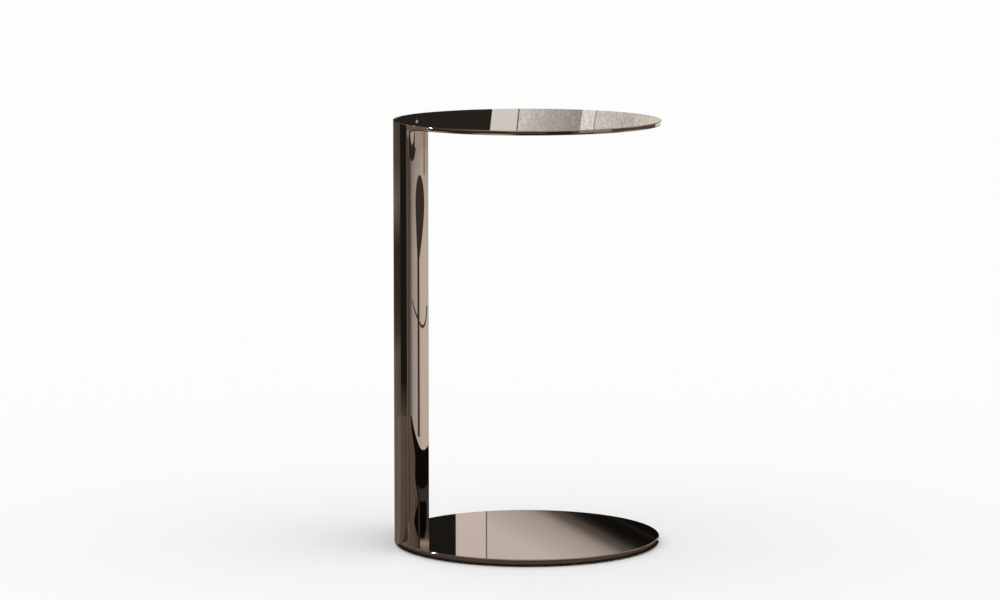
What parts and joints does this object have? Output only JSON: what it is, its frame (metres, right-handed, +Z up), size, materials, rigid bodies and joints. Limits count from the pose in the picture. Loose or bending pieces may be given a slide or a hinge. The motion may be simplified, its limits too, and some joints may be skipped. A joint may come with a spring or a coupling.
{
  "type": "corner table",
  "caption": "Round mirror-polished dark metal side table: top and equal base disc joined at one side by a sheet rolled to their radius, open elsewhere to slide over a sofa seat.",
  "frame": {"origin": "point on the floor below the centre of the top, on the common axis of both discs", "axes": "+Z up along the axis of the discs, the post at -X, the open side at +X, mirror plane XZ"},
  "size_m": [0.35, 0.35, 0.56],
  "materials": {
    "dark_nickel": "mirror-polished steel with a warm dark nickel plating",
    "screw_steel": "blackened steel",
    "pad_rubber": "matt"
  },
  "bodies": {
    "root": {"top_disc": "dark_nickel", "base_disc": "dark_nickel", "post_plate": "dark_nickel", "top_flange": "dark_nickel", "foot_flange": "dark_nickel", "top_screw_1": "screw_steel", "top_screw_2": "screw_steel", "top_screw_3": "screw_steel", "top_screw_4": "screw_steel", "foot_screw_1": "screw_steel", "foot_screw_2": "screw_steel", "foot_screw_3": "screw_steel", "foot_screw_4": "screw_steel", "floor_pad_1": "pad_rubber", "floor_pad_2": "pad_rubber", "floor_pad_3": "pad_rubber", "floor_pad_4": "pad_rubber", "floor_pad_5": "pad_rubber"}
  },
  "joints": []
}
